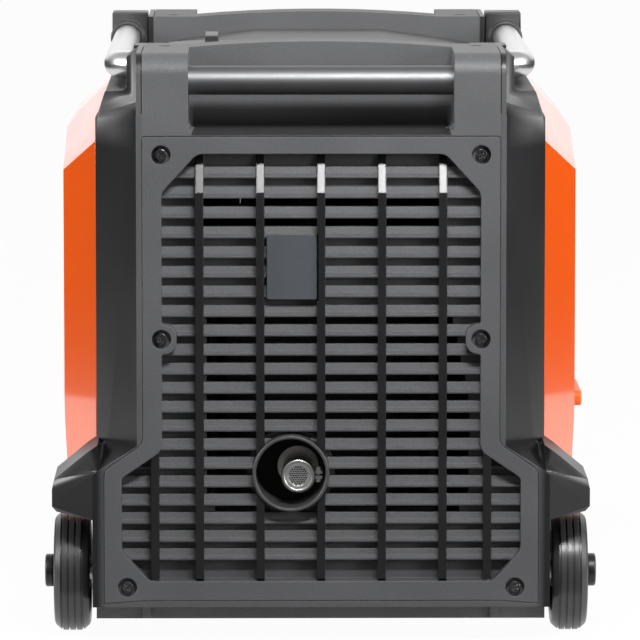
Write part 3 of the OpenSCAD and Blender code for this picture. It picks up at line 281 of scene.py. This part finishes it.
def moulded_plastic(name, colour, roughness=0.5, grain=0.00006, edge=0.0006):
    """Plastic from a grained mould: mottled colour, uneven gloss and a fine pitted relief."""
    finish = Finish(name, specular_ior_level=0.5)
    mottle = finish.noise(9.0, 4.0)
    speck = finish.noise(420.0, 2.0)
    tone = mottle * 0.6 + speck * 0.4
    finish.give("Base Color", finish.blend(tone.above(0.5, 0.3), colour, lit(colour, 1.35)))
    finish.give("Roughness", mottle * 0.12 + (roughness - 0.06) + speck * 0.04)
    pits = finish.noise(1500.0, 3.0, 0.6)
    finish.relief(pits, grain, edge)
    return finish.material


def etched_plastic(name, zone_of, etched=(0.1, 0.101, 0.104), edge=0.001, smooth_gloss=0.32):
    """Black plastic, smooth and dark except in the zone that was etched: pale and grained."""
    smooth, etched_gloss = (0.012, 0.0123, 0.0132), 0.48
    finish = Finish(name)
    zone = zone_of(finish)
    grain = finish.noise(1000.0, 2.0, 0.6)
    mottle = finish.noise(14.0, 3.0)
    tone = (grain * 0.8 + mottle * 0.2).above(0.5, 0.22)
    grained = finish.blend(tone, lit(etched, 0.6), lit(etched, 1.35))
    plain = finish.blend(mottle.above(0.5, 0.25), smooth, lit(smooth, 1.25))
    finish.give("Base Color", finish.blend(zone, plain, grained))
    finish.give("Roughness", zone * (etched_gloss - smooth_gloss) + mottle * 0.08 + smooth_gloss)
    finish.relief(grain * (zone * 0.9 + 0.1), 0.00012, edge)
    return finish.material


body_of = {node: body for body, nodes in frame["record"]["behaviour"]["bodies"].items()
           for node in nodes}


def merged_copy(node, name, finish):
    """A piece with the node's shape, its corners merged and its flat faces made whole."""
    mesh = frame["nodes"][node].data.copy()
    shell = bmesh.new()
    shell.from_mesh(mesh)
    bmesh.ops.remove_doubles(shell, verts=shell.verts, dist=2e-5)
    bmesh.ops.dissolve_limit(shell, angle_limit=math.radians(0.05), verts=shell.verts[:],
                             edges=shell.edges[:])
    shell.to_mesh(mesh)
    shell.free()
    mesh.materials.clear()
    mesh.materials.append(finish)
    piece = bpy.data.objects.new(name, mesh)
    bpy.context.collection.objects.link(piece)
    return piece


def softened(node, finish, edge=0.0008, segments=2, angle=35):
    """Stands for a node with its facets smoothed and its sharp edges rounded."""
    piece = merged_copy(node, node + "_shell", finish)
    piece.data.shade_smooth()
    piece.data.set_sharp_from_angle(angle=math.radians(angle))
    if edge:
        rounding = piece.modifiers.new("rounded edges", "BEVEL")
        rounding.width, rounding.segments = edge, segments
        rounding.limit_method, rounding.angle_limit = "ANGLE", math.radians(angle)
        rounding.use_clamp_overlap = False
        rounding.harden_normals = True
    else:
        flat = piece.modifiers.new("flat faces kept flat", "WEIGHTED_NORMAL")
        flat.keep_sharp = True
    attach(piece, body_of[node])
    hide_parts(node)


def dressed(finish, *nodes):
    """Gives a finish to nodes whose shape is right as it is."""
    for node in nodes:
        for slot in frame["nodes"][node].material_slots:
            slot.material = finish


rear_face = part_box("louvre_panel")[0].y
front_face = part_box("control_panel")[1].y
panel_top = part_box("louvre_panel")[1].z
hair = 0.0003  # half the width of a crisp step from one finish to the next
groove_out = 0.1557  # the fine groove beside each cheek
recess_half = 0.1125
corner_out = 0.172


def cover_zone(finish):
    """The flat end face, and the cheeks, the recess and the crown between their grooves, with a
    painted shade at the bottom of the recess and a painted highlight on the outer corners.
    """
    across, along, up = (finish.axis(name) for name in "XYZ")
    out = across.maths("ABSOLUTE", across, 0.0)
    outwards = along.maths("ABSOLUTE", along, 0.0)
    cheeks = up.above(panel_top + 0.0005, hair) * out.below(groove_out, hair)
    end_face = outwards.above(-rear_face - 0.0005, hair) * out.below(0.192, 0.004)
    # the bottom of the recess, under the bar, is left smooth and dark as painted shade
    recess = out.below(recess_half, 0.0005) * up.above(panel_top + 0.0012, hair)
    recess_painted_shade = up.below(panel_top + 0.016, 0.010) * recess
    # the sloping corners under the rails are painted paler towards their outer edges, a painted
    # highlight
    corner_painted_highlight = up.above(panel_top - 0.005, 0.008) * out.above(corner_out, 0.01) * 0.55
    flats = cheeks.maths("MAXIMUM", cheeks, end_face * 0.8) * (1.0 - recess_painted_shade)
    return flats.maths("MAXIMUM", flats, corner_painted_highlight)


# its zone holds a painted shade at the bottom of the hand recess and a painted highlight on the
# sloping corners
cover_black = etched_plastic("cover plastic", cover_zone)
softened("rear_cover", cover_black, edge=0)
softened("front_cover", cover_black, edge=0)

# ---- louvre panel ----
# The screwed-on panel of slanted slats and upright ribs that lets the cooling air out,
# etched like the covers but for its smooth ribs. A bare lacquered plate covers some slats.
rib_spacing, rib_half, outer_rib_out = 0.053, 0.0036, 0.145


def between_ribs(finish):
    """Everything but the smooth ribs: five in the middle and one near each end."""
    across = finish.axis("X")
    out = across.maths("ABSOLUTE", across, 0.0)
    from_inner_rib = out.maths("PINGPONG", out, rib_spacing / 2)
    from_outer_rib = out.maths("ABSOLUTE", out - outer_rib_out, 0.0)
    past_inner_ribs = out.above(2 * rib_spacing + 0.006, 0.001)
    off_inner = from_inner_rib.above(rib_half, 0.0001)
    off_outer = from_outer_rib.above(rib_half, 0.0001)
    off_ribs = off_inner.maths("MAXIMUM", off_inner, past_inner_ribs) * off_outer
    frame_front = finish.axis("Y").below(rear_face + 0.0005, 0.0002)
    return off_ribs.maths("MAXIMUM", off_ribs, frame_front)


louvre_black = etched_plastic("louvre plastic", between_ribs, etched=(0.092, 0.093, 0.097),
                              edge=0.0015, smooth_gloss=0.24)
softened("louvre_panel", louvre_black, edge=0, angle=1)
plate_blue = moulded_plastic("blue-grey lacquer", (0.07, 0.076, 0.086), roughness=0.3,
                             grain=0.00001, edge=0.0003)
softened("blank_plate", plate_blue, edge=0.0004)

# ---- panel screws ----
# Black zinc-plated pan-head screws that hold both face panels.
screw_black = Finish("black zinc", metallic=1.0, base_color=(0.2, 0.2, 0.205))
screw_black.give("Roughness", screw_black.noise(900.0) * 0.3 + 0.12)
softened("panel_screws", screw_black.material, edge=0.0004)

# ---- exhaust ----
# A deep moulded ring round the stainless tail pipe, which ends in a clamped spark arrester with a
# perforated dome. The muffler and its shield behind are sheet steel painted near-black with a
# random mottle, painted shade for the dark inside of the machine.
shroud_black = moulded_plastic("heat-proof plastic", (0.05, 0.05, 0.052), roughness=0.4)
softened("exhaust_shroud", shroud_black, edge=0.0012)
hot_steel = Finish("stained steel", metallic=1.0)
stain = hot_steel.noise(38.0, 3.0)
hot_steel.give("Base Color", hot_steel.blend(stain, (0.7, 0.68, 0.64), (0.84, 0.83, 0.82)))
hot_steel.give("Roughness", hot_steel.noise(600.0) * 0.2 + 0.22)
dressed(hot_steel.material, "tail_pipe")
# the muffler and its shield are painted near-black: painted shade for the dark inside of the
# machine
shade_darkened_steel = Finish("sheet steel painted dark as shade", metallic=0.5)
dark_mottle = shade_darkened_steel.noise(30.0, 3.0)
shade_darkened_steel.give("Base Color", shade_darkened_steel.blend(dark_mottle, (0.03, 0.029, 0.028), (0.07, 0.066, 0.06)))
shade_darkened_steel.give("Roughness", shade_darkened_steel.noise(500.0) * 0.2 + 0.55)
dressed(shade_darkened_steel.material, "muffler", "heat_shield")
bright_steel = Finish("bright steel", metallic=1.0, base_color=(0.88, 0.88, 0.87))
bright_steel.give("Roughness", bright_steel.noise(300.0) * 0.2 + 0.28)
dressed(bright_steel.material, "spark_arrester", "arrester_clamp")

# ---- carrying bars ----
# Steel tubes between the cheeks of each cover, in dark silver satin paint.
bar_silver = Finish("dark silver paint", metallic=1.0)
flake = bar_silver.noise(2400.0, 1.0)
bar_silver.give("Base Color", bar_silver.blend(flake, (0.17, 0.172, 0.177),
                                               (0.22, 0.222, 0.227)))
bar_silver.give("Roughness", bar_silver.noise(40.0) * 0.08 + 0.44)
dressed(bar_silver.material, "carry_bars")

# ---- control end ----
# The front panel with its display, dial, switch, buttons, covered outlets and sockets.


def panel_front(finish):
    """The foremost face of the control panel."""
    return finish.axis("Y").above(front_face - 0.0005, 0.0002)


softened("control_panel", etched_plastic("control panel plastic", panel_front), edge=0)
glass = Finish("dark window", base_color=(0.012, 0.015, 0.02), roughness=0.08, coat_weight=1.0)
dressed(glass.material, "display")
orange_plastic = moulded_plastic("orange plastic", (0.75, 0.15, 0.02), roughness=0.4)
green_plastic = moulded_plastic("green plastic", (0.03, 0.25, 0.07), roughness=0.3)
red_plastic = moulded_plastic("red plastic", (0.5, 0.02, 0.015), roughness=0.3)
softened("engine_dial", orange_plastic, edge=0.001)
softened("start_button", green_plastic, edge=0.001)
softened("ac_breaker", red_plastic, edge=0.001)
socket_black = moulded_plastic("smooth black plastic", (0.018, 0.018, 0.019), roughness=0.34,
                               grain=0.00002)
for control in ("eco_switch", "duplex_outlets", "outlet_cover_left", "outlet_cover_right",
                "twist_lock_outlet", "twist_lock_cover", "low_voltage_sockets"):
    softened(control, socket_black, edge=0.0005)
brass = Finish("brass", metallic=1.0, base_color=(0.75, 0.55, 0.25))
brass.give("Roughness", brass.noise(500.0) * 0.2 + 0.2)
dressed(brass.material, "earth_terminal")

# ---- side panels ----
# Glossy orange panels that wrap over the top edges, with slanted ends. The left one has a
# hinged service door with a quarter-turn latch.
orange_gloss = Finish("glossy orange", coat_weight=1.0, coat_roughness=0.05, coat_ior=1.65)
tint = orange_gloss.noise(5.0, 2.0)
orange_gloss.give("Base Color", orange_gloss.blend(tint, (0.88, 0.1, 0.003),
                                                   (0.92, 0.115, 0.004)))
orange_gloss.give("Roughness", orange_gloss.noise(700.0, 2.0) * 0.06 + 0.2)
orange_gloss.relief(orange_gloss.noise(260.0, 2.0), 0.00002, 0.0008)
softened("left_side_panel", orange_gloss.material, edge=0.001)
softened("right_side_panel", orange_gloss.material, edge=0.001)
softened("service_door", orange_gloss.material, edge=0.0006)
softened("door_latch", socket_black, edge=0.0005)

# ---- recoil starter ----
# A grip on a braided rope that comes out of the housing through a guide. The rope stands as a
# merged copy of its node, with its transform baked in.
softened("recoil_grip", orange_plastic, edge=0.002, segments=3)
softened("rope_guide", socket_black, edge=0.0006)
rope = Finish("braided rope", roughness=0.8)
rope.give("Base Color", rope.blend(rope.noise(700.0), (0.015, 0.015, 0.015), (0.05, 0.05, 0.05)))
strand = merged_copy("starter_rope", "starter_rope_strand", rope.material)
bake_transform(strand)
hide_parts("starter_rope")
dressed(socket_black, "recoil_housing", "recoil_pulley")

# ---- top ----
# The crowned roof between the covers, with the fuel cap in its pocket.
softened("top_cover", cover_black, edge=0)
softened("fuel_cap", socket_black, edge=0.0008)
dressed(socket_black, "fuel_tank")

# ---- rails and pull handle ----
# Silver tubes along both sides, with the arms of the telescoping pull handle inside.
tube_silver = Finish("satin silver", metallic=1.0, base_color=(0.7, 0.7, 0.71))
tube_silver.give("Roughness", tube_silver.noise(500.0, 2.0) * 0.12 + 0.24)
dressed(tube_silver.material, "side_rails", "pull_handle")
softened("rail_brackets", cover_black, edge=0.0015, segments=3)
grip_rubber = moulded_plastic("soft rubber", (0.02, 0.02, 0.02), roughness=0.75, grain=0.0001)
dressed(grip_rubber, "pull_grip")
softened("handle_lock_button", orange_plastic, edge=0.001)

# ---- base and wheels ----
# A moulded tray, grained along its lower edge and painted paler there as painted light where the
# cover shades it, on rubber feet at the front and on two solid-tyred wheels at the back. The
# wheels turn on a steel axle under plastic caps.


def pale_painted_tray_edge(finish):
    """The tray's lower edge, grained and painted paler as painted light."""
    return finish.axis("Z").below(0.05, 0.001)


# the lower edge's grain is painted twice as pale as the covers' grain, painted light where the
# cover shades the tray
tray_grain_and_painted_light = etched_plastic("tray plastic", pale_painted_tray_edge, etched=(0.2, 0.202, 0.206))
softened("base_tray", tray_grain_and_painted_light, edge=0)
dressed(grip_rubber, "front_feet")
tyre_black = Finish("tyre rubber")
dust = tyre_black.noise(30.0, 3.0)
tyre_black.give("Base Color", tyre_black.blend(dust, (0.036, 0.036, 0.038),
                                               (0.055, 0.055, 0.057)))
tyre_black.give("Roughness", tyre_black.noise(60.0, 3.0) * 0.12 + 0.24)
tyre_black.relief(tyre_black.noise(900.0, 2.0), 0.00003, 0.0008)
dressed(tyre_black.material, "tyre_left", "tyre_right")
softened("rim_left", cover_black, edge=0.0008)
softened("rim_right", cover_black, edge=0.0008)
softened("axle_caps", cover_black, edge=0.002, segments=3)
dressed(bright_steel.material, "wheel_axle")

# ---- engine and generator ----
# The sealed machinery inside: a cast engine with its painted shaft and rotor, the wound
# stator, fan, carburettor, filter box, inverter and battery.
cast = Finish("cast aluminium", metallic=1.0)
cast.give("Base Color", cast.blend(cast.noise(80.0, 4.0), (0.42, 0.42, 0.43), (0.55, 0.55, 0.56)))
cast.give("Roughness", cast.noise(300.0) * 0.2 + 0.45)
dressed(cast.material, "engine_block", "cylinder_head", "carburettor", "inverter_module")
iron = Finish("painted iron", base_color=(0.05, 0.05, 0.055), roughness=0.5)
dressed(iron.material, "alternator_rotor", "crankshaft")
copper = Finish("enamelled copper", metallic=0.8, base_color=(0.6, 0.25, 0.1), roughness=0.35)
dressed(copper.material, "alternator_stator")
dressed(socket_black, "cooling_fan", "air_filter_box", "battery")

# ---- last update ----
bpy.context.view_layer.update()
